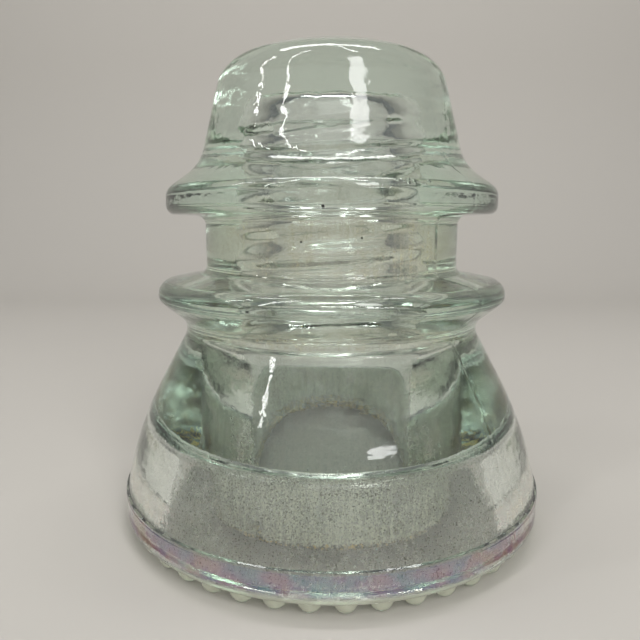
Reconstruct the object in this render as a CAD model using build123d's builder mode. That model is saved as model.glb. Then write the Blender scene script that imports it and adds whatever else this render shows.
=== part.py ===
from build123d import *
import math
import os

# Pin-type glass insulator for an open-wire line: one piece of pressed glass.
# Millimetres. +Z runs up the axis of the pin, and the origin is at the centre of the ring of drip
# points that the insulator stands on.

# Heights of the outside, stacked from the drip points up to the crown
base_band_height = 6.6
skirt_curve_height = 22.0
skirt_cone_height = 12.5
lower_flange_underside_rise = 5.5
lower_flange_edge_height = 3.6
lower_flange_top_rise = 1.8
wire_groove_height = 11.8
upper_flange_underside_rise = 0.4
upper_flange_edge_height = 4.9
upper_flange_top_rise = 5.4
crown_height = 24.6

# Diameters of the outside
base_diameter = 92.1
skirt_cone_diameter = 75.4
throat_diameter = 62.0
lower_flange_diameter = 75.2
wire_groove_diameter = 54.8
upper_flange_diameter = 70.8
crown_foot_diameter = 56.4
crown_shoulder_diameter = 46.6
base_band_step = 0.45

# Roundings of the crown and the rim
crown_dome_radius = 56.0
crown_shoulder_radius = 7.5
base_rim_radius = 1.1

# Roundings of the flanges and the neck, each as the share of the shorter side at its corner that it
# takes up, so that neighbours never meet
crown_foot_share = 0.355
upper_flange_top_share = 0.31
upper_flange_low_share = 0.35
groove_high_share = 0.215
groove_low_share = 0.145
lower_flange_top_share = 0.70
lower_flange_low_share = 0.21
throat_share = 0.33

# Drip points: a ring of beads that stand out of the rim by half their diameter. The turn, in
# degrees, is that of the first one from +X
drip_point_count = 44
drip_point_diameter = 4.8
drip_ring_inset = 3.65
drip_ring_turn = 3.6

# Hollow under the skirt: a narrow ring with an arched roof, round the petticoat
rim_width = 8.65
inner_rim_radius = 1.1
hollow_height = 17.4
hollow_roof_diameter = 67.6
hollow_arch_share = 0.46

# Petticoat: a thick inner skirt with a wide plain bore that ends in a round shoulder
petticoat_bore_diameter = 40.8
petticoat_bore_top_diameter = 39.8
petticoat_bore_height = 36.0
petticoat_bore_arch_share = 0.85
petticoat_lip_width = 8.3
petticoat_lip_rise = 0.6
petticoat_lip_share = 0.32
petticoat_root_flare = 0.8

# Pinhole above that bore: a plain lead-in, then a tapered thread of rounded form for a one inch pin.
# The wall is drawn at the crests of the thread
lead_in_rise = 0.5
lead_in_height = 4.0
lead_in_clearance = 0.3
lead_in_shoulder_height = 1.2
pin_thread_top_diameter = 25.4
pin_thread_taper = 1 / 16
pin_thread_clearance = 0.4
thread_depth = 1.0
thread_run_out = 1.5
glass_over_pinhole = 13.5
pinhole_roof_radius = 3.0

# Levels that follow from the heights
rim_z = drip_point_diameter / 2
band_top_z = rim_z + base_band_height
skirt_cone_z = band_top_z + skirt_curve_height
throat_z = skirt_cone_z + skirt_cone_height
lower_flange_low_z = throat_z + lower_flange_underside_rise
lower_flange_high_z = lower_flange_low_z + lower_flange_edge_height
wire_groove_low_z = lower_flange_high_z + lower_flange_top_rise
wire_groove_high_z = wire_groove_low_z + wire_groove_height
upper_flange_low_z = wire_groove_high_z + upper_flange_underside_rise
upper_flange_high_z = upper_flange_low_z + upper_flange_edge_height
crown_foot_z = upper_flange_high_z + upper_flange_top_rise
crown_top_z = crown_foot_z + crown_height
crown_shoulder_drop = crown_dome_radius - math.sqrt(crown_dome_radius**2 - crown_shoulder_diameter**2 / 4)
crown_shoulder_z = crown_top_z - crown_shoulder_drop
pinhole_roof_z = crown_top_z - glass_over_pinhole
thread_end_z = pinhole_roof_z - thread_run_out
hollow_roof_z = rim_z + hollow_height
petticoat_lip_z = rim_z + petticoat_lip_rise
petticoat_bore_top_z = petticoat_lip_z + petticoat_bore_height
lead_in_z = petticoat_bore_top_z + lead_in_rise
lead_in_end_z = lead_in_z + lead_in_height
lead_in_shoulder_z = lead_in_end_z + lead_in_shoulder_height


def root_radius_at(z):
    """Radius to the bottom of the thread's groove, which narrows up the pinhole."""
    top_radius = pin_thread_top_diameter / 2 + pin_thread_clearance
    return top_radius + (thread_end_z - z) * pin_thread_taper / 2


def crest_radius_at(z):
    """Radius of the bore between the turns of the groove."""
    return root_radius_at(z) - thread_depth


def share_radius(before, corner, after, share):
    """Radius of the rounding that takes up a share of the shorter side at a corner."""
    side_in = Vector(*corner) - Vector(*before)
    side_out = Vector(*after) - Vector(*corner)
    half_turn = math.radians(side_in.get_angle(side_out) / 2)
    return share * min(side_in.length, side_out.length) / math.tan(half_turn)


def share_radii(corners, shares):
    """Radii for the corners between the first and the last one of a run."""
    return tuple(share_radius(*corners[i : i + 3], share) for i, share in enumerate(shares))


lead_in_radius = root_radius_at(lead_in_end_z) + lead_in_clearance
rim_inner_radius = base_diameter / 2 - rim_width
petticoat_lip_radius = petticoat_bore_diameter / 2 + petticoat_lip_width
petticoat_root_radius = petticoat_lip_radius + petticoat_root_flare
crown_shoulder = (crown_shoulder_diameter / 2, crown_shoulder_z)

# Corners of the outside from the shoulder of the crown down to the skirt, as radius and height
side_corners = [
    crown_shoulder,
    (crown_foot_diameter / 2, crown_foot_z),
    (upper_flange_diameter / 2, upper_flange_high_z),
    (upper_flange_diameter / 2, upper_flange_low_z),
    (wire_groove_diameter / 2, wire_groove_high_z),
    (wire_groove_diameter / 2, wire_groove_low_z),
    (lower_flange_diameter / 2, lower_flange_high_z),
    (lower_flange_diameter / 2, lower_flange_low_z),
    (throat_diameter / 2, throat_z),
    (skirt_cone_diameter / 2, skirt_cone_z),
]
side_shares = [
    crown_foot_share,
    upper_flange_top_share,
    upper_flange_low_share,
    groove_high_share,
    groove_low_share,
    lower_flange_top_share,
    lower_flange_low_share,
    throat_share,
]

# Corners of the hollow, up the skirt's inner wall, over the arch and down the petticoat
hollow_corners = [
    (rim_inner_radius, rim_z),
    (hollow_roof_diameter / 2, hollow_roof_z),
    (petticoat_root_radius, hollow_roof_z),
    (petticoat_lip_radius, petticoat_lip_z),
]
skirt_arch_radius, petticoat_arch_radius = share_radii(
    hollow_corners, [hollow_arch_share, hollow_arch_share]
)

# Corners of the petticoat's bore, up to where the pinhole's lead-in begins
bore_corners = [
    (petticoat_bore_diameter / 2, petticoat_lip_z),
    (petticoat_bore_top_diameter / 2, petticoat_bore_top_z),
    (lead_in_radius, lead_in_z),
]
bore_arch_radius = share_radius(*bore_corners, petticoat_bore_arch_share)

with BuildPart() as insulator:
    # Outer form, which the mould gives
    with BuildSketch(Plane.XZ) as outer_section:
        with BuildLine():
            dome = RadiusArc((0, crown_top_z), crown_shoulder, crown_dome_radius)
            flanges = FilletPolyline(*side_corners, radius=share_radii(side_corners, side_shares))
            skirt_curve = TangentArc(
                flanges @ 1, (base_diameter / 2 - base_band_step, band_top_z), tangent=flanges % 1
            )
            base_band = FilletPolyline(
                skirt_curve @ 1,
                (base_diameter / 2, band_top_z - base_band_step),
                (base_diameter / 2, rim_z),
                (0, rim_z),
                radius=(0, base_rim_radius),
            )
            Line(base_band @ 1, dome @ 0)
        make_face()
        fillet(outer_section.vertices().sort_by_distance(Vector(*crown_shoulder))[0], crown_shoulder_radius)
    revolve(axis=Axis.Z)

    # Hollow under the skirt, which the plunger gives
    with BuildSketch(Plane.XZ) as hollow_section:
        with BuildLine():
            FilletPolyline(
                (0, rim_z),
                *hollow_corners,
                (0, petticoat_lip_z),
                close=True,
                radius=(0, 0, skirt_arch_radius, petticoat_arch_radius, 0, 0),
            )
        make_face()
    revolve(axis=Axis.Z, mode=Mode.SUBTRACT)

    # Bore of the petticoat, and over it the pinhole: plain lead-in, tapered wall and flat roof
    with BuildSketch(Plane.XZ) as pinhole_section:
        with BuildLine():
            FilletPolyline(
                (0, petticoat_lip_z),
                *bore_corners,
                (lead_in_radius, lead_in_end_z),
                (crest_radius_at(lead_in_shoulder_z), lead_in_shoulder_z),
                (crest_radius_at(pinhole_roof_z), pinhole_roof_z),
                (0, pinhole_roof_z),
                close=True,
                radius=(0, 0, bore_arch_radius, 0, 0, 0, pinhole_roof_radius, 0),
            )
        make_face()
    revolve(axis=Axis.Z, mode=Mode.SUBTRACT)

    # Rounded lip of the petticoat and inner edge of the rim
    lip_edges = insulator.edges().filter_by(GeomType.CIRCLE).filter_by_position(
        Axis.Z, petticoat_lip_z, petticoat_lip_z
    )
    fillet(lip_edges, petticoat_lip_share * petticoat_lip_width)
    rim_edges = insulator.edges().filter_by(GeomType.CIRCLE).filter_by_position(Axis.Z, rim_z, rim_z)
    fillet(rim_edges.sort_by(SortBy.RADIUS)[0], inner_rim_radius)

    # Drip points, with their centres in the plane of the rim
    drip_ring_radius = base_diameter / 2 - drip_ring_inset
    with PolarLocations(drip_ring_radius, drip_point_count, start_angle=drip_ring_turn):
        with Locations((0, 0, drip_point_diameter / 2)):
            Sphere(drip_point_diameter / 2)

insulator.part.label = "insulator"
os.makedirs("parts", exist_ok=True)
export_step(insulator.part, "parts/insulator.step")
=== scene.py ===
import math
import bpy
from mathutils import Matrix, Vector


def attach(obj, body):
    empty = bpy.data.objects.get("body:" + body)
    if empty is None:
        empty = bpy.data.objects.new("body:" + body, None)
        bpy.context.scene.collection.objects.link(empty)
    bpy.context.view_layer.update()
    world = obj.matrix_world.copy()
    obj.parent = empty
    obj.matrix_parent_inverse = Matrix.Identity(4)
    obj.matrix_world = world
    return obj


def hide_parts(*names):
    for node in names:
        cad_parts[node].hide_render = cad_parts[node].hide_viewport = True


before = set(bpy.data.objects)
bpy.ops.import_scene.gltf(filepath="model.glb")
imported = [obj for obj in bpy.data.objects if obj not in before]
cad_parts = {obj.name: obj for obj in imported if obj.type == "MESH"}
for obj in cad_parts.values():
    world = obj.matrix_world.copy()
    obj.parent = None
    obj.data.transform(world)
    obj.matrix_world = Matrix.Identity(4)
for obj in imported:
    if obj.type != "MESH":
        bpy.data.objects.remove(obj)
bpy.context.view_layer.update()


# The camera of the photograph. It was held close, 65 mm above the table and 135 mm from the axis, and
# looked down a little, so the rim is seen from above and the crown almost level.
camera_distance = 0.1348
camera_height = 0.0650
look_down = math.radians(9.28)
look_aside = math.radians(1.05)
focal_length = 33.75

camera_data = bpy.data.cameras.new("camera")
camera_data.lens = focal_length
camera_data.sensor_width = 36
camera_data.clip_start = 0.005
camera = bpy.data.objects.new("camera", camera_data)
camera.location = (0, -camera_distance, camera_height)
camera.rotation_euler = (math.pi / 2 - look_down, 0, look_aside)
bpy.context.scene.collection.objects.link(camera)
bpy.context.scene.camera = camera


# The glass body: one piece of soda-lime glass, pressed hot in an iron mould. The mould gives the crown,
# the flanges, the skirt and the drip points, a plunger gives the hollow and the petticoat, and a screwed
# mandrel gives the thread of the pinhole, so all of it is one closed skin round one mass of glass.
# Corners of its section in millimetres: distance from the axis, height, and radius of the rounding
section_corners = [
    (0.0, 101.5, 0.0),
    (10.1, 101.5, 55.9),
    (23.26, 96.6, 7.5),
    (28.2, 76.9, 9.0),
    (35.4, 71.5, 3.0),
    (35.4, 66.6, 1.8),
    (27.4, 66.2, 1.8),
    (27.4, 54.4, 1.8),
    (37.6, 52.6, 3.0),
    (37.6, 49.0, 1.6),
    (31.0, 43.5, 3.5),
    (43.28, 20.58, 76.5),
    (45.55, 9.2, 0.1),
    (45.95, 9.0, 0.1),
    (45.97, 8.5, 0.2),
    (46.05, 8.35, 0.2),
    (46.05, 2.4, 2.2),
    (37.4, 2.4, 1.1),
    (33.8, 19.8, 2.4),
    (29.5, 19.8, 2.05),
    (28.7, 3.0, 2.65),
    (20.4, 3.0, 2.65),
    (19.9, 39.0, 4.9),
    (14.75, 39.5, 0.0),
    (14.75, 43.5, 0.0),
    (13.4, 44.7, 0.0),
    (12.05, 88.0, 3.0),
    (0.0, 88.0, 0.0),
]
rim_edge = 16
pinhole_foot = 25
thread_rows = 150
rounding_steps = 9
mm = 0.001

# Columns round the body, how far they are gathered at the seam, the one that lies on it, and how near
# to it, in radians, a column counts as that one
column_count = 176
gathering = 0.65
seam_column = -21
seam_tolerance = 0.004

# Chips: degrees round from the front, distance from the axis, height, and stretch
chips = [
    (18.4, 34.75, 72.0, (0.45, 0.65, 0.40)),
    (21.6, 34.70, 71.9, (0.60, 0.50, 0.75)),
    (23.0, 34.75, 71.9, (0.50, 0.60, 0.45)),
    (28.4, 34.75, 71.9, (0.35, 0.40, 0.35)),
]


def add(tree, kind, inputs=None, stops=(), **settings):
    """Add a node to a tree. Inputs are values, or the nodes and sockets that feed them."""
    node = tree.nodes.new(kind)
    for name, value in settings.items():
        setattr(node, name, value)
    for i, (place, colour) in enumerate(stops):
        stop = node.color_ramp.elements[i] if i < 2 else node.color_ramp.elements.new(place)
        stop.position = place
        stop.color = colour
    for key, value in (inputs or {}).items():
        if isinstance(value, bpy.types.Node):
            value = value.outputs[0]
        if isinstance(value, bpy.types.NodeSocket):
            tree.links.new(value, node.inputs[key])
        else:
            node.inputs[key].default_value = value
    return node


def tree_with_inputs(name, inputs):
    """Start a geometry tree that takes the object's own mesh and named sizes."""
    tree = bpy.data.node_groups.new(name, "GeometryNodeTree")
    tree.interface.new_socket("Geometry", in_out="INPUT", socket_type="NodeSocketGeometry")
    tree.interface.new_socket("Geometry", in_out="OUTPUT", socket_type="NodeSocketGeometry")
    for label, kind in inputs:
        tree.interface.new_socket(label, in_out="INPUT", socket_type="NodeSocket" + kind)
    return tree


def apply_tree(piece, tree, values):
    """Run a tree on a piece with its named inputs set, and keep the result as a plain mesh."""
    modifier = piece.modifiers.new("tree", "NODES")
    modifier.node_group = tree
    for item in tree.interface.items_tree:
        if item.name in values:
            modifier[item.identifier] = values[item.name]
    graph = bpy.context.evaluated_depsgraph_get()
    shaped = bpy.data.meshes.new_from_object(piece.evaluated_get(graph), depsgraph=graph)
    piece.modifiers.clear()
    piece.data = shaped


def linear(hex_colour):
    """Turn an sRGB hex colour into the linear values that Blender works in."""
    parts = [int(hex_colour[i : i + 2], 16) / 255 for i in (1, 3, 5)]
    return tuple(p / 12.92 if p <= 0.04045 else ((p + 0.055) / 1.055) ** 2.4 for p in parts) + (1,)


def grey(level):
    """Turn a share into a ramp's colour."""
    return (level, level, level, 1)


glass_colour = "#bcf0ce"
glass_absorption = 7.5
glass_ior = 1.52
dust_colour = "#e2e8df"
film_colour = "#d6cb98"
dirt_colour = "#dcbc62"
crumb_colour = "#130e07"
grit_colour = "#4a4739"
scale_colour = "#15130f"

# The specks' places and radii in millimetres, and the weathered film's thickness in nanometres
specks = [((-1.34, -35.21, 67.57), 0.34), ((-5.37, -26.86, 61.47), 0.26), ((5.5, -26.84, 62.18), 0.24)]
film_thinnest = 272.0
film_thickest = 308.0
film_ior = 2.0

# How high the skin's ripples, chill marks, dimples and pits stand
ripple_height = 0.12 * mm
chill_height = 0.025 * mm
dimple_height = 0.08 * mm
pit_height = 0.009 * mm

# Pressed soda-lime glass with a trace of iron: colourless in a thin wall, pale green through a thick one.
# The mould and the cooling leave the skin faintly rippled, so that highlights waver, and years on a pole
# leave pale dust and brown dirt inside the skirt, a haze in the groove and a weathered, iridescent rim.
glass = bpy.data.materials.new("pressed_soda_lime_glass")
glass.use_nodes = True
nodes = glass.node_tree
nodes.nodes.clear()

# Patterns are laid out in millimetres, so a noise's scale is one over the width of what it draws
where = add(nodes, "ShaderNodeTexCoord")
spot = add(nodes, "ShaderNodeVectorMath", {0: where.outputs["Object"], "Scale": 1 / mm}, operation="SCALE")
axes = add(nodes, "ShaderNodeSeparateXYZ", {0: spot})
beside_axis = add(nodes, "ShaderNodeCombineXYZ", {"X": axes.outputs["X"], "Y": axes.outputs["Y"]})
spot_radius = add(nodes, "ShaderNodeVectorMath", {0: beside_axis}, operation="LENGTH").outputs["Value"]
spot_height = axes.outputs["Z"]

# Dust lies thickest on the petticoat and in the hollow, thinner up the bore, and a film is on the groove.
# Each ramp runs over 0 to 50 mm from the axis or over 0 to 100 mm of height
radius_share = add(nodes, "ShaderNodeMath", {0: spot_radius, 1: 50.0}, operation="DIVIDE")
height_share = add(nodes, "ShaderNodeMath", {0: spot_height, 1: 100.0}, operation="DIVIDE")
hollow_dust = add(nodes, "ShaderNodeValToRGB", {"Fac": radius_share}, stops=[
    (0.415, grey(0.0)), (0.44, grey(0.85)), (0.60, grey(0.85)),
    (0.65, grey(0.17)), (0.765, grey(0.22)), (0.79, grey(0.0)),
])
below_roof = add(nodes, "ShaderNodeMapRange", {
    "Value": spot_height, "From Min": 22.0, "From Max": 20.5,
}, interpolation_type="SMOOTHSTEP")
hollow_share = add(nodes, "ShaderNodeMath", {0: hollow_dust, 1: below_roof}, operation="MULTIPLY")
bore_dust = add(nodes, "ShaderNodeValToRGB", {"Fac": height_share}, stops=[
    (0.03, grey(0.22)), (0.20, grey(0.12)), (0.38, grey(0.12)), (0.42, grey(0.14)), (0.88, grey(0.10)),
])
in_bore = add(nodes, "ShaderNodeMapRange", {
    "Value": spot_radius, "From Min": 21.0, "From Max": 20.6,
}, interpolation_type="SMOOTHSTEP")
bore_share = add(nodes, "ShaderNodeMath", {0: bore_dust, 1: in_bore}, operation="MULTIPLY")
outer_film = add(nodes, "ShaderNodeValToRGB", {"Fac": height_share}, stops=[
    (0.09, grey(0.05)), (0.39, grey(0.03)), (0.44, grey(0.16)), (0.50, grey(0.04)), (0.55, grey(0.17)),
    (0.65, grey(0.15)), (0.69, grey(0.04)), (0.90, grey(0.01)),
])
on_outside = add(nodes, "ShaderNodeMapRange", {
    "Value": spot_radius, "From Min": 22.0, "From Max": 24.0,
}, interpolation_type="SMOOTHSTEP")
film_share = add(nodes, "ShaderNodeMath", {0: outer_film, 1: on_outside}, operation="MULTIPLY")
inner_share = add(nodes, "ShaderNodeMath", {0: hollow_share, 1: bore_share}, operation="MAXIMUM")
dust_share = add(nodes, "ShaderNodeMath", {0: inner_share, 1: film_share}, operation="MAXIMUM")

# Damp has drawn the dust down in fine streaks, and it lies in blotches and grains. The grains are drawn
# 0.4 mm across, coarser than real dust, so that they show
streak_place = add(nodes, "ShaderNodeVectorMath", {0: spot, 1: (1.5, 1.5, 0.06)}, operation="MULTIPLY")
streaks = add(nodes, "ShaderNodeTexNoise", {
    "Vector": streak_place, "Scale": 1.0, "Detail": 3.0, "Roughness": 0.6,
})
blotches = add(nodes, "ShaderNodeTexNoise", {"Vector": spot, "Scale": 0.11, "Detail": 2.0})
grains = add(nodes, "ShaderNodeTexNoise", {"Vector": spot, "Scale": 2.6, "Detail": 1.0, "Roughness": 0.5})
streak_gain = add(nodes, "ShaderNodeMapRange", {
    "Value": streaks, "From Min": 0.3, "From Max": 0.7, "To Min": 0.5, "To Max": 1.5,
})
blotch_gain = add(nodes, "ShaderNodeMapRange", {
    "Value": blotches, "From Min": 0.3, "From Max": 0.7, "To Min": 0.5, "To Max": 1.4,
})
grain_gain = add(nodes, "ShaderNodeMapRange", {
    "Value": grains, "From Min": 0.35, "From Max": 0.65, "To Min": 0.55, "To Max": 1.45,
})
dust_streaked = add(nodes, "ShaderNodeMath", {0: dust_share, 1: streak_gain}, operation="MULTIPLY")
dust_blotched = add(nodes, "ShaderNodeMath", {0: dust_streaked, 1: blotch_gain}, operation="MULTIPLY")
dust = add(nodes, "ShaderNodeMath", {0: dust_blotched, 1: grain_gain}, operation="MULTIPLY", use_clamp=True)

# Brown dirt has gathered on the petticoat's lip, and dark grit is scattered over the hollow. The crumbs
# and the grit are drawn 0.3 to 0.7 mm across, coarser than most real ones, so that they show
lip_low = add(nodes, "ShaderNodeMapRange", {
    "Value": spot_height, "From Min": 6.6, "From Max": 5.0,
}, interpolation_type="SMOOTHSTEP")
lip_ring = add(nodes, "ShaderNodeValToRGB", {"Fac": radius_share}, stops=[
    (0.39, grey(0.0)), (0.405, grey(1.0)), (0.57, grey(1.0)), (0.585, grey(0.0)),
])
lip_share = add(nodes, "ShaderNodeMath", {0: lip_low, 1: lip_ring}, operation="MULTIPLY")
crumbs = add(nodes, "ShaderNodeTexNoise", {"Vector": spot, "Scale": 1.5, "Detail": 2.0, "Roughness": 0.6})
crumb_reach = add(nodes, "ShaderNodeMath", {0: crumbs, 1: lip_share}, operation="MULTIPLY")
lip_dirt = add(nodes, "ShaderNodeMapRange", {"Value": crumb_reach, "From Min": 0.40, "From Max": 0.43})
dark_crumbs = add(nodes, "ShaderNodeTexNoise", {"Vector": spot, "Scale": 1.7, "Detail": 1.0})
dark_share = add(nodes, "ShaderNodeMapRange", {"Value": dark_crumbs, "From Min": 0.44, "From Max": 0.46})
dirt = add(nodes, "ShaderNodeMix", {
    "Factor": dark_share, "A": linear(dirt_colour), "B": linear(crumb_colour),
}, data_type="RGBA")
grit = add(nodes, "ShaderNodeTexNoise", {"Vector": spot, "Scale": 3.6, "Detail": 0.0})
grit_spots = add(nodes, "ShaderNodeMapRange", {"Value": grit, "From Min": 0.64, "From Max": 0.72})
grit_ring = add(nodes, "ShaderNodeValToRGB", {"Fac": radius_share}, stops=[
    (0.38, grey(0.15)), (0.60, grey(0.3)), (0.64, grey(0.9)), (0.76, grey(0.9)), (0.78, grey(0.0)),
])
grit_reach = add(nodes, "ShaderNodeMath", {0: grit_ring, 1: below_roof}, operation="MULTIPLY")
grit_share = add(nodes, "ShaderNodeMath", {0: grit_spots, 1: grit_reach}, operation="MULTIPLY")
dust_and_grit = add(nodes, "ShaderNodeMath", {0: dust, 1: grit_share}, operation="MAXIMUM")

# The rim and its drip points, which the piece has been set down on, are worn to a fine frost
rim_low = add(nodes, "ShaderNodeMapRange", {
    "Value": spot_height, "From Min": 4.6, "From Max": 3.9, "To Max": 0.5,
})
rim_out = add(nodes, "ShaderNodeMapRange", {"Value": spot_radius, "From Min": 38.0, "From Max": 41.0})
frost = add(nodes, "ShaderNodeMath", {0: rim_low, 1: rim_out}, operation="MULTIPLY")
loose = add(nodes, "ShaderNodeMath", {0: dust_and_grit, 1: frost}, operation="MAXIMUM")

# Dust only touches the glass here and there, so where the skin mirrors from inside it hardly shows,
# but the dirt on the lip is caked on
mirror = add(nodes, "ShaderNodeFresnel", {"IOR": glass_ior})
contact = add(nodes, "ShaderNodeMapRange", {"Value": mirror, "From Min": 0.1, "To Min": 1.0, "To Max": 0.12})
loose_seen = add(nodes, "ShaderNodeMath", {0: loose, 1: contact}, operation="MULTIPLY")
cover_all = add(nodes, "ShaderNodeMath", {0: loose_seen, 1: lip_dirt}, operation="MAXIMUM")

# Three black specks of scale are pressed into the skin, on the upper flange and in the groove
speck_share = None
for speck_place, speck_radius in specks:
    from_speck = add(nodes, "ShaderNodeVectorMath", {0: spot, 1: speck_place}, operation="DISTANCE")
    speck = add(nodes, "ShaderNodeMapRange", {
        "Value": from_speck.outputs["Value"], "From Min": speck_radius, "From Max": speck_radius * 0.7,
    })
    if speck_share is not None:
        speck = add(nodes, "ShaderNodeMath", {0: speck, 1: speck_share}, operation="MAXIMUM")
    speck_share = speck
cover_specks = add(nodes, "ShaderNodeMath", {0: cover_all, 1: speck_share}, operation="MAXIMUM")

tint_share = add(nodes, "ShaderNodeMapRange", {"Value": cover_all, "From Max": 0.5})
outer_tint = add(nodes, "ShaderNodeMapRange", {"Value": film_share, "From Min": 0.03, "From Max": 0.10})
film = add(nodes, "ShaderNodeMix", {
    "Factor": outer_tint, "A": linear(dust_colour), "B": linear(film_colour),
}, data_type="RGBA")
dusty = add(nodes, "ShaderNodeMix", {
    "Factor": tint_share, "A": (1, 1, 1, 1), "B": film.outputs["Result"],
}, data_type="RGBA")
dirty = add(nodes, "ShaderNodeMix", {
    "Factor": lip_dirt, "A": dusty.outputs["Result"], "B": dirt.outputs["Result"],
}, data_type="RGBA")
gritty = add(nodes, "ShaderNodeMix", {
    "Factor": grit_share, "A": dirty.outputs["Result"], "B": linear(grit_colour),
}, data_type="RGBA")
speckled = add(nodes, "ShaderNodeMix", {
    "Factor": speck_share, "A": gritty.outputs["Result"], "B": linear(scale_colour),
}, data_type="RGBA")
clear_share = add(nodes, "ShaderNodeMath", {0: 1.0, 1: cover_specks}, operation="SUBTRACT")
dullness = add(nodes, "ShaderNodeMapRange", {
    "Value": cover_all, "From Max": 1.0, "To Min": 0.015, "To Max": 0.3,
})

# The skin: broad ripples, finer chill marks that lie level, dimples 2 mm across that are deepest on the
# crown, and fine pits all over
ripple_place = add(nodes, "ShaderNodeVectorMath", {0: spot, 1: (0.05, 0.05, 0.16)}, operation="MULTIPLY")
ripples = add(nodes, "ShaderNodeTexNoise", {
    "Vector": ripple_place, "Scale": 1.0, "Detail": 2.0, "Roughness": 0.45,
})
broad = add(nodes, "ShaderNodeBump", {"Strength": 1.0, "Distance": ripple_height, "Height": ripples})
chill_place = add(nodes, "ShaderNodeVectorMath", {0: spot, 1: (0.09, 0.09, 0.75)}, operation="MULTIPLY")
chill = add(nodes, "ShaderNodeTexNoise", {
    "Vector": chill_place, "Scale": 1.0, "Detail": 2.0, "Roughness": 0.5,
})
on_skirt = add(nodes, "ShaderNodeMapRange", {
    "Value": spot_height, "From Min": 48.0, "From Max": 38.0, "To Min": 0.35, "To Max": 1.0,
}, interpolation_type="SMOOTHSTEP")
chill_depth = add(nodes, "ShaderNodeMath", {0: chill, 1: on_skirt}, operation="MULTIPLY")
wavy = add(nodes, "ShaderNodeBump", {
    "Strength": 1.0, "Distance": chill_height, "Height": chill_depth, "Normal": broad,
})
dimples = add(nodes, "ShaderNodeTexNoise", {"Vector": spot, "Scale": 0.42, "Detail": 1.0})
on_crown = add(nodes, "ShaderNodeMapRange", {
    "Value": spot_height, "From Min": 66.0, "From Max": 76.0, "To Min": 0.4, "To Max": 1.0,
})
dimple_depth = add(nodes, "ShaderNodeMath", {0: dimples, 1: on_crown}, operation="MULTIPLY")
dimpled = add(nodes, "ShaderNodeBump", {
    "Strength": 1.0, "Distance": dimple_height, "Height": dimple_depth, "Normal": wavy,
})
pits = add(nodes, "ShaderNodeTexNoise", {"Vector": spot, "Scale": 1.6, "Detail": 2.0, "Roughness": 0.6})
pitted = add(nodes, "ShaderNodeBump", {
    "Strength": 1.0, "Distance": pit_height, "Height": pits, "Normal": dimpled,
})

# The weathered skin of the base band is a film of about 0.3 micrometres, iridescent in violet and blue
rainbow = add(nodes, "ShaderNodeTexNoise", {"Vector": spot, "Scale": 0.22, "Detail": 4.0})
under_ring = add(nodes, "ShaderNodeMapRange", {"Value": spot_height, "From Min": 8.7, "From Max": 8.6})
over_edge = add(nodes, "ShaderNodeMapRange", {"Value": spot_height, "From Min": 4.5, "From Max": 4.6})
band_height = add(nodes, "ShaderNodeMath", {0: under_ring, 1: over_edge}, operation="MULTIPLY")
rim_side = add(nodes, "ShaderNodeMapRange", {"Value": spot_radius, "From Min": 45.0, "From Max": 45.1})
band_share = add(nodes, "ShaderNodeMath", {0: band_height, 1: rim_side}, operation="MULTIPLY")
rainbow_depth = add(nodes, "ShaderNodeMapRange", {
    "Value": rainbow, "From Min": 0.4, "From Max": 0.6, "To Min": film_thinnest, "To Max": film_thickest,
})
film_thickness = add(nodes, "ShaderNodeMath", {0: rainbow_depth, 1: band_share}, operation="MULTIPLY")

surface = add(nodes, "ShaderNodeBsdfPrincipled", {
    "Base Color": speckled.outputs["Result"],
    "Roughness": dullness,
    "IOR": glass_ior,
    "Transmission Weight": clear_share,
    "Normal": pitted,
    "Thin Film Thickness": film_thickness,
    "Thin Film IOR": film_ior,
})
body_colour = add(nodes, "ShaderNodeVolumeAbsorption", {
    "Color": linear(glass_colour), "Density": glass_absorption,
})
add(nodes, "ShaderNodeOutputMaterial", {"Surface": surface, "Volume": body_colour})

# The section carries its roundings, which of it is outside, and the rows that the thread needs
section = bpy.data.meshes.new("section")
section.from_pydata(
    [(x * mm, z * mm, 0) for x, z, rounding in section_corners],
    [(i, i + 1) for i in range(len(section_corners) - 1)],
    [],
)
for name, kind in (("rounding", "FLOAT"), ("outside", "FLOAT"), ("rows", "INT")):
    section.attributes.new(name, kind, "POINT")
for i, (x, z, rounding) in enumerate(section_corners):
    section.attributes["rounding"].data[i].value = rounding * mm
    section.attributes["outside"].data[i].value = float(i <= rim_edge)
section.attributes["rows"].data[pinhole_foot].value = thread_rows

press = tree_with_inputs("press", [
    ("Columns", "Int"),
    ("Rounding steps", "Int"),
    ("Mould radius", "Float"),
    ("Weld distance", "Float"),
    ("Pinhole radius", "Float"),
    ("Thread pitch", "Float"),
    ("Thread depth", "Float"),
    ("Thread start", "Float"),
    ("Thread end", "Float"),
    ("Thread run-in", "Float"),
    ("Thread run-out", "Float"),
    ("Drip points", "Int"),
    ("Drip point radius", "Float"),
    ("Drip ring radius", "Float"),
    ("Drip ring turn", "Float"),
    ("Gathering", "Float"),
    ("Seam turn", "Float"),
    ("Seam height", "Float"),
    ("Seam top", "Float"),
    ("Seam full height", "Float"),
    ("Wear start", "Float"),
    ("Wear end", "Float"),
    ("Worn share", "Float"),
    ("Chip radius", "Float"),
    ("Chip roughness", "Float"),
    ("Chip pattern", "Float"),
    ("Sliver size", "Float"),
    ("Crease angle", "Float"),
    ("Glass", "Material"),
])
given = add(press, "NodeGroupInput").outputs
chain = add(press, "GeometryNodeMeshToCurve", {"Mesh": given["Geometry"]})
corner_rounding = add(press, "GeometryNodeInputNamedAttribute", {"Name": "rounding"}, data_type="FLOAT")
rounded = add(press, "GeometryNodeFilletCurve", {
    "Curve": chain, "Count": given["Rounding steps"], "Radius": corner_rounding,
}, mode="POLY")
row_count = add(press, "GeometryNodeInputNamedAttribute", {"Name": "rows"}, data_type="INT")
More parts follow.
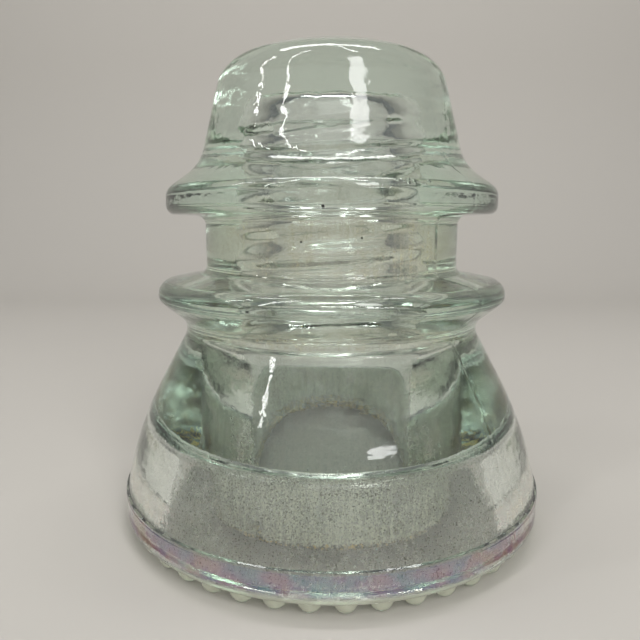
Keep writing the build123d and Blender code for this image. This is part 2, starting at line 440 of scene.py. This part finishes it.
ruled = add(press, "GeometryNodeSubdivideCurve", {"Curve": rounded, "Cuts": row_count})
inward = add(press, "ShaderNodeMath", {0: 0.0, 1: given["Mould radius"]}, operation="SUBTRACT")
shift = add(press, "ShaderNodeCombineXYZ", {"X": inward})
beside = add(press, "GeometryNodeTransform", {"Geometry": ruled, "Translation": shift, "Scale": (1, -1, 1)})
ring = add(press, "GeometryNodeCurvePrimitiveCircle", {
    "Resolution": given["Columns"], "Radius": given["Mould radius"],
}, mode="RADIUS")
swept = add(press, "GeometryNodeCurveToMesh", {"Curve": ring, "Profile Curve": beside})
closed = add(press, "GeometryNodeMergeByDistance", {"Geometry": swept, "Distance": given["Weld distance"]})

# Where each point is: its height, its distance from the axis and its turn round it
place = add(press, "GeometryNodeInputPosition")
split = add(press, "ShaderNodeSeparateXYZ", {0: place})
level = add(press, "ShaderNodeCombineXYZ", {"X": split.outputs["X"], "Y": split.outputs["Y"]})
outward = add(press, "ShaderNodeVectorMath", {0: level}, operation="NORMALIZE")
from_axis = add(press, "ShaderNodeVectorMath", {0: level}, operation="LENGTH").outputs["Value"]
turn = add(press, "ShaderNodeMath", {0: split.outputs["Y"], 1: split.outputs["X"]}, operation="ARCTAN2")
facing = add(press, "GeometryNodeInputNormal")

# The mould opens in two halves and leaves a fine ridge where they meet, which fire polishing has melted
# away on the crown and wear has lowered on the flanges. The columns are gathered there, and the one on
# the seam is raised
from_seam = add(press, "ShaderNodeMath", {0: turn, 1: given["Seam turn"]}, operation="SUBTRACT")
twice = add(press, "ShaderNodeMath", {0: from_seam, 1: 2.0}, operation="MULTIPLY")
sway = add(press, "ShaderNodeMath", {0: twice}, operation="SINE")
half_pull = add(press, "ShaderNodeMath", {0: given["Gathering"], 1: -0.5}, operation="MULTIPLY")
pull = add(press, "ShaderNodeMath", {0: sway, 1: half_pull}, operation="MULTIPLY")
turned = add(press, "ShaderNodeVectorRotate", {"Vector": place, "Angle": pull}, rotation_type="Z_AXIS")
gathered = add(press, "GeometryNodeSetPosition", {"Geometry": closed, "Position": turned})
across = add(press, "ShaderNodeMath", {0: from_seam}, operation="SINE")
off_seam = add(press, "ShaderNodeMath", {0: across}, operation="ABSOLUTE")
at_seam = add(press, "FunctionNodeCompare", {
    0: off_seam, 1: seam_tolerance,
}, data_type="FLOAT", operation="LESS_THAN")
seam_fade = add(press, "ShaderNodeMapRange", {
    "Value": split.outputs["Z"], "From Min": given["Seam top"], "From Max": given["Seam full height"],
}, interpolation_type="SMOOTHSTEP")
seam_wear = add(press, "ShaderNodeMapRange", {
    "Value": from_axis, "From Min": given["Wear start"], "From Max": given["Wear end"],
    "To Min": 1.0, "To Max": given["Worn share"],
})
seam_worn = add(press, "ShaderNodeMath", {0: seam_fade, 1: seam_wear}, operation="MULTIPLY")
outside = add(press, "GeometryNodeInputNamedAttribute", {"Name": "outside"}, data_type="FLOAT")
seam_share = add(press, "ShaderNodeMath", {0: seam_worn, 1: outside}, operation="MULTIPLY")
ridge = add(press, "ShaderNodeMath", {0: seam_share, 1: given["Seam height"]}, operation="MULTIPLY")
raised = add(press, "ShaderNodeVectorMath", {0: facing, "Scale": ridge}, operation="SCALE")
seamed = add(press, "GeometryNodeSetPosition", {"Geometry": gathered, "Selection": at_seam, "Offset": raised})

# The thread winds round the pinhole as a rounded groove that rises by one pitch a turn, to the right
in_pinhole = add(press, "FunctionNodeCompare", {
    0: from_axis, 1: given["Pinhole radius"],
}, data_type="FLOAT", operation="LESS_THAN")
above_start = add(press, "FunctionNodeCompare", {
    0: split.outputs["Z"], 1: given["Thread start"],
}, data_type="FLOAT", operation="GREATER_THAN")
on_thread = add(press, "FunctionNodeBooleanMath", {0: in_pinhole, 1: above_start}, operation="AND")
rise = add(press, "ShaderNodeMath", {0: split.outputs["Z"], 1: given["Thread pitch"]}, operation="DIVIDE")
rise_angle = add(press, "ShaderNodeMath", {0: rise, 1: 2 * math.pi}, operation="MULTIPLY")
phase = add(press, "ShaderNodeMath", {0: rise_angle, 1: turn}, operation="SUBTRACT")
wave = add(press, "ShaderNodeMath", {0: phase}, operation="COSINE")
groove = add(press, "ShaderNodeMapRange", {
    "Value": wave, "From Min": 1.0, "From Max": -1.0, "To Min": 0.0, "To Max": given["Thread depth"],
})
full_from = add(press, "ShaderNodeMath", {0: given["Thread start"], 1: given["Thread run-in"]})
start_fade = add(press, "ShaderNodeMapRange", {
    "Value": split.outputs["Z"], "From Min": given["Thread start"], "From Max": full_from,
}, interpolation_type="SMOOTHSTEP")
full_to = add(press, "ShaderNodeMath", {
    0: given["Thread end"], 1: given["Thread run-out"],
}, operation="SUBTRACT")
end_fade = add(press, "ShaderNodeMapRange", {
    "Value": split.outputs["Z"], "From Min": given["Thread end"], "From Max": full_to,
}, interpolation_type="SMOOTHSTEP")
both_fades = add(press, "ShaderNodeMath", {0: start_fade, 1: end_fade}, operation="MULTIPLY")
depth = add(press, "ShaderNodeMath", {0: groove, 1: both_fades}, operation="MULTIPLY")
offset = add(press, "ShaderNodeVectorMath", {0: outward, "Scale": depth}, operation="SCALE")
threaded = add(press, "GeometryNodeSetPosition", {
    "Geometry": seamed, "Selection": on_thread, "Offset": offset,
})

# The drip points are beads round the middle of the rim, fused to it
bead = add(press, "GeometryNodeMeshUVSphere", {
    "Segments": 24, "Rings": 16, "Radius": given["Drip point radius"],
})
bead_ring = add(press, "GeometryNodeMeshCircle", {
    "Vertices": given["Drip points"], "Radius": given["Drip ring radius"],
})
bead_lift = add(press, "ShaderNodeCombineXYZ", {"Z": given["Drip point radius"]})
ring_turn = add(press, "ShaderNodeCombineXYZ", {"Z": given["Drip ring turn"]})
lifted = add(press, "GeometryNodeTransform", {
    "Geometry": bead_ring, "Translation": bead_lift, "Rotation": ring_turn,
})
beads = add(press, "GeometryNodeInstanceOnPoints", {"Points": lifted, "Instance": bead})
real_beads = add(press, "GeometryNodeRealizeInstances", {"Geometry": beads})
fused = add(press, "GeometryNodeMeshBoolean", {"Mesh 2": threaded}, operation="UNION", solver="MANIFOLD")
press.links.new(real_beads.outputs[0], fused.inputs["Mesh 2"])

# Knocks have flaked shell-shaped chips off the edge of the upper flange
chipped = add(press, "GeometryNodeMeshBoolean", {
    "Mesh 1": fused,
}, operation="DIFFERENCE", solver="MANIFOLD")
pebble = add(press, "GeometryNodeMeshIcoSphere", {"Radius": given["Chip radius"], "Subdivisions": 5})
knock_low = add(press, "ShaderNodeMath", {0: given["Chip roughness"], 1: -1.0}, operation="MULTIPLY")
for turn_from_front, distance_out, chip_height, stretch in chips:
    turn_round = math.radians(turn_from_front - 90)
    chip_x = math.cos(turn_round) * distance_out
    chip_y = math.sin(turn_round) * distance_out
    knock_noise = add(press, "ShaderNodeTexNoise", {
        "Vector": place, "W": chip_height, "Scale": given["Chip pattern"], "Detail": 1.0,
    }, noise_dimensions="4D")
    knock_shift = add(press, "ShaderNodeMapRange", {
        "Value": knock_noise, "To Min": knock_low, "To Max": given["Chip roughness"],
    })
    knock_offset = add(press, "ShaderNodeVectorMath", {0: facing, "Scale": knock_shift}, operation="SCALE")
    knocked = add(press, "GeometryNodeSetPosition", {"Geometry": pebble, "Offset": knock_offset})
    flake = add(press, "GeometryNodeTransform", {
        "Geometry": knocked,
        "Translation": (chip_x * mm, chip_y * mm, chip_height * mm),
        "Rotation": (0.0, 0.0, turn_round),
        "Scale": stretch,
    })
    press.links.new(flake.outputs[0], chipped.inputs["Mesh 2"])

# Slivers left by the cuts are merged away, and only the sharp edges are shaded sharp
cleaned = add(press, "GeometryNodeMergeByDistance", {"Geometry": chipped, "Distance": given["Sliver size"]})
faces_smooth = add(press, "GeometryNodeSetShadeSmooth", {
    "Geometry": cleaned, "Shade Smooth": True,
}, domain="FACE")
edge_angle = add(press, "GeometryNodeInputMeshEdgeAngle")
is_crease = add(press, "FunctionNodeCompare", {
    0: edge_angle, 1: given["Crease angle"],
}, data_type="FLOAT", operation="GREATER_THAN")
creased = add(press, "GeometryNodeSetShadeSmooth", {
    "Geometry": faces_smooth, "Selection": is_crease, "Shade Smooth": False,
}, domain="EDGE")
realized = add(press, "GeometryNodeRealizeInstances", {"Geometry": creased})
finished = add(press, "GeometryNodeSetMaterial", {"Geometry": realized, "Material": given["Glass"]})
add(press, "NodeGroupOutput", {0: finished})

body = bpy.data.objects.new("glass_body", section)
bpy.context.scene.collection.objects.link(body)
apply_tree(body, press, {
    "Columns": column_count,
    "Rounding steps": rounding_steps,
    "Mould radius": 46.05 * mm,
    "Weld distance": 0.002 * mm,
    "Pinhole radius": 14.5 * mm,
    "Thread pitch": 6.35 * mm,
    "Thread depth": 1.0 * mm,
    "Thread start": 44.7 * mm,
    "Thread end": 86.5 * mm,
    "Thread run-in": 2.0 * mm,
    "Thread run-out": 6.0 * mm,
    "Drip points": 44,
    "Drip point radius": 2.4 * mm,
    "Drip ring radius": 42.4 * mm,
    "Drip ring turn": math.radians(3.6),
    "Gathering": gathering,
    "Seam turn": seam_column * 2 * math.pi / column_count,
    "Seam height": 0.24 * mm,
    "Seam top": 82 * mm,
    "Seam full height": 68 * mm,
    "Wear start": 29 * mm,
    "Wear end": 32 * mm,
    "Worn share": 0.35,
    "Chip radius": 1.0 * mm,
    "Chip roughness": 0.45 * mm,
    "Chip pattern": 0.9 / mm,
    "Sliver size": 0.004 * mm,
    "Crease angle": math.radians(35),
    "Glass": glass,
})
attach(body, "root")
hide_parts("insulator")


# The stage: a sheet of plain pale paper, laid on a table and curved up behind the object into a
# backdrop, in an even room under soft lamps.
stage_colour = "#bfbbb4"
paper_roughness = 0.8
floor_front = -1.2
floor_back = 0.35
stage_top = 1.2
cove_radius = 0.25
cove_steps = 12
stage_width = 1.6
middle_height = 0.05
stage_line = [(floor_front, 0.0), (floor_back, 0.0)]
for step in range(1, cove_steps + 1):
    turn_up = math.pi / 2 * step / cove_steps
    stage_line.append((floor_back + cove_radius * math.sin(turn_up), cove_radius * (1 - math.cos(turn_up))))
stage_line.append((floor_back + cove_radius, stage_top))
floor = bpy.data.objects.new("floor", bpy.data.meshes.new("floor"))
floor.data.from_pydata(
    [(side * stage_width, y, z) for y, z in stage_line for side in (-1, 1)],
    [],
    [(2 * i, 2 * i + 1, 2 * i + 3, 2 * i + 2) for i in range(len(stage_line) - 1)],
)
floor.data.polygons.foreach_set("use_smooth", [True] * len(floor.data.polygons))
paper = bpy.data.materials.new("matt_paper")
paper.use_nodes = True
paper_surface = paper.node_tree.nodes["Principled BSDF"]
paper_surface.inputs["Base Color"].default_value = linear(stage_colour)
paper_surface.inputs["Roughness"].default_value = paper_roughness
floor.data.materials.append(paper)
bpy.context.scene.collection.objects.link(floor)

# The room is lightest at the level of the eye and below, darker overhead, and darker at both sides
room_low = 0.42
room_high = 0.14
room_side = 0.40
world = bpy.data.worlds.new("room")
bpy.context.scene.world = world
world.use_nodes = True
room = world.node_tree
room.nodes.clear()
look = add(room, "ShaderNodeTexCoord")
look_axes = add(room, "ShaderNodeSeparateXYZ", {0: look.outputs["Generated"]})
upness = add(room, "ShaderNodeMapRange", {
    "Value": look_axes.outputs["Z"], "From Min": 0.05, "From Max": 0.75,
    "To Min": room_low, "To Max": room_high,
}, interpolation_type="SMOOTHSTEP")
sideways = add(room, "ShaderNodeMath", {0: look_axes.outputs["X"]}, operation="ABSOLUTE")
side_shade = add(room, "ShaderNodeMapRange", {
    "Value": sideways, "From Min": 0.70, "From Max": 0.92, "To Min": 1.0, "To Max": room_side,
}, interpolation_type="SMOOTHSTEP")
brightness = add(room, "ShaderNodeMath", {0: upness, 1: side_shade}, operation="MULTIPLY")
room_light = add(room, "ShaderNodeBackground", {"Color": (1, 1, 1, 1), "Strength": brightness})
add(room, "ShaderNodeOutputWorld", {"Surface": room_light})


def lamp(name, azimuth, elevation, distance, size, power, mirrored=True):
    """Hang a rectangular soft box round the object, in degrees from the front to the right and upwards."""
    data = bpy.data.lights.new(name, "AREA")
    data.shape = "RECTANGLE"
    data.size, data.size_y = size
    data.energy = power
    box = bpy.data.objects.new(name, data)
    reach = distance * math.cos(math.radians(elevation))
    away = Vector((
        reach * math.sin(math.radians(azimuth)),
        -reach * math.cos(math.radians(azimuth)),
        distance * math.sin(math.radians(elevation)),
    ))
    box.location = Vector((0.0, 0.0, middle_height)) + away
    box.rotation_euler = away.to_track_quat("Z", "Y").to_euler()
    box.visible_glossy = mirrored
    bpy.context.scene.collection.objects.link(box)


# A long key overhead and a broad fill light the object, and the fill isn't mirrored in it. The others
# are the narrow tubes and the small windows that the glass mirrors as fine highlights
lamp("key", 0, 96, 0.85, (0.8, 0.10), 2.6)
lamp("fill", 10, 32, 1.0, (0.9, 0.6), 4.2, mirrored=False)
lamp("left_tube", -46, 50, 0.9, (0.025, 0.75), 1.3)
lamp("far_tube", -76, 44, 0.9, (0.02, 0.34), 0.5)
lamp("window", 28, 46, 0.9, (0.20, 0.26), 1.6)
lamp("low_window", 30, 24, 0.9, (0.26, 0.05), 0.45)
lamp("top_tube", 40, 76, 0.9, (0.03, 0.30), 0.6)

bpy.context.scene.view_settings.view_transform = "Standard"
